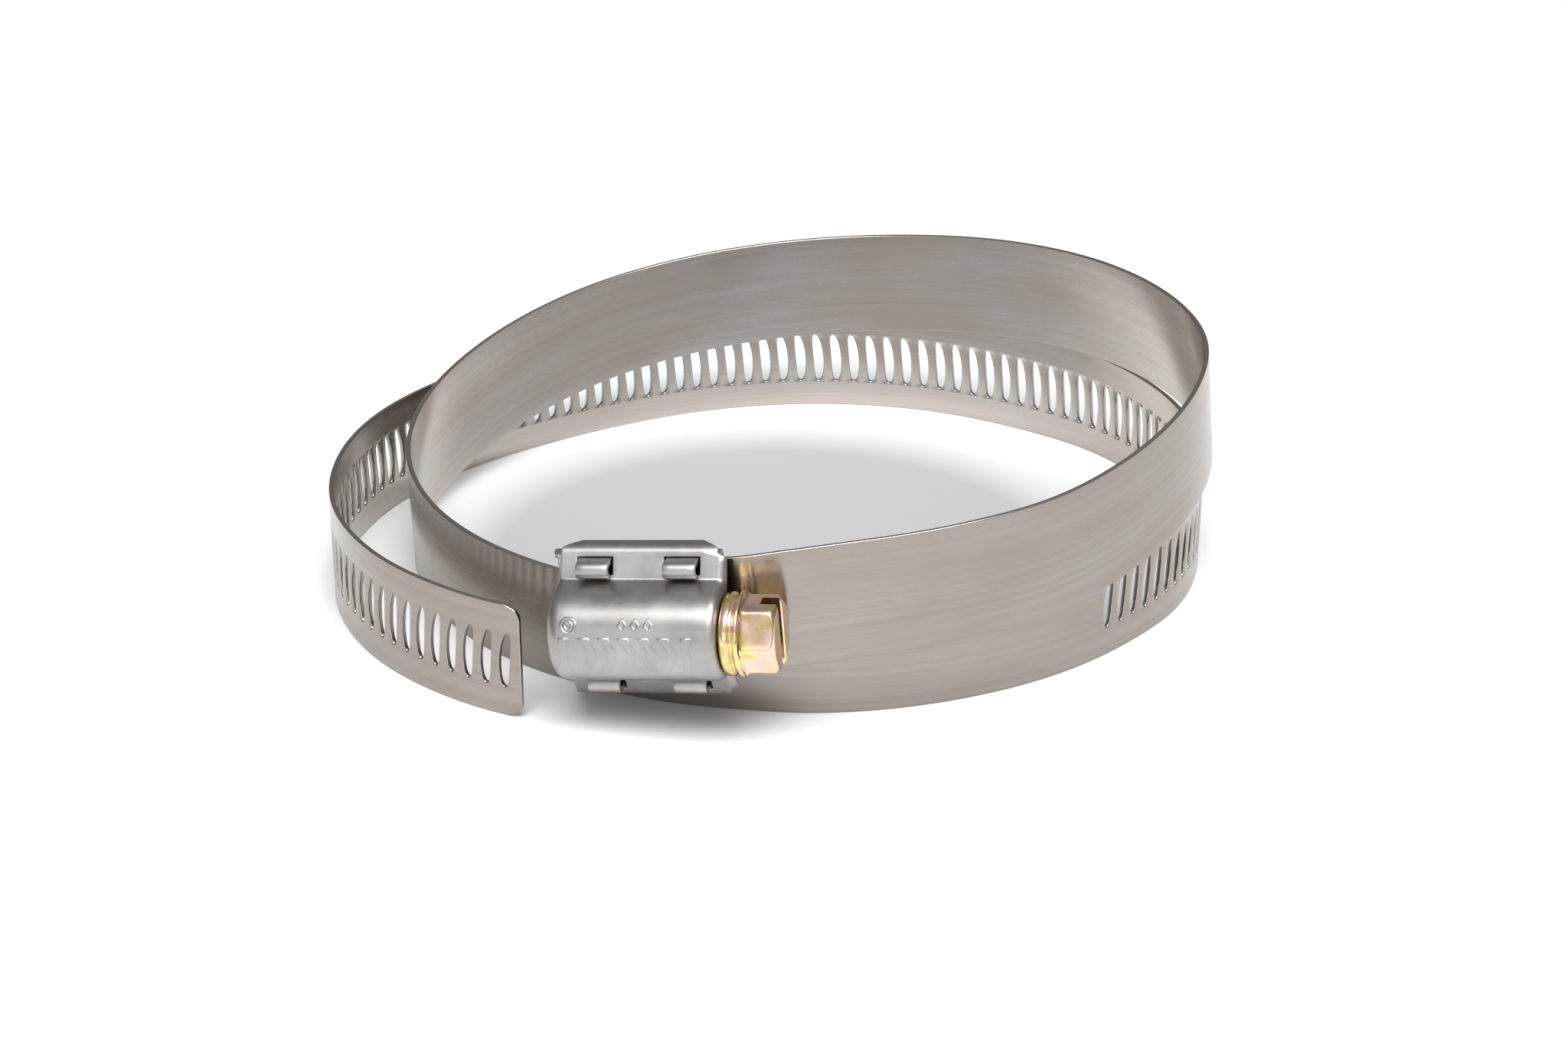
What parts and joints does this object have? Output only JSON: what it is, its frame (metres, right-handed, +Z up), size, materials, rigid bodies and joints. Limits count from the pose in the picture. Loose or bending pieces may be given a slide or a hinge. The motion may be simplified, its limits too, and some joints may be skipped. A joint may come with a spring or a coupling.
{
  "type": "worm drive hose clamp",
  "caption": "Open worm-drive band clamp: a slotted steel band coiled on its edge, with a screw housing whose slotted hex-head screw pulls the band's free end through to tighten it round a hose.",
  "frame": {"origin": "below the middle of the coil, on the plane that the band's lower edge rests on", "axes": "+Z up, along the axis of the coil; +X along the coil's longest way; -Y towards the screw housing"},
  "size_m": [0.111, 0.1074, 0.0294],
  "materials": {
    "band_steel": "cold-rolled stainless strip, satin, with fine lengthwise rolling lines and bright sheared edges",
    "saddle_steel": "pressed stainless sheet, satin, with polished bends",
    "housing_steel": "pressed stainless sheet, semi-bright from drawing, with polished edges",
    "plated_screw": "zinc plated carbon steel with a glossy yellow passivation that shifts to pink and olive"
  },
  "bodies": {
    "clamp": {"band": "band_steel", "saddle": "saddle_steel", "housing": "housing_steel"},
    "screw": {"screw": "plated_screw"}
  },
  "joints": [
    {"name": "screw_spin", "type": "hinge", "parent": "clamp", "child": "screw", "pos_m": [-0.01521, -0.0459, 0.01246], "axis": [0.9736, -0.207, 0.0958], "continuous": true}
  ]
}
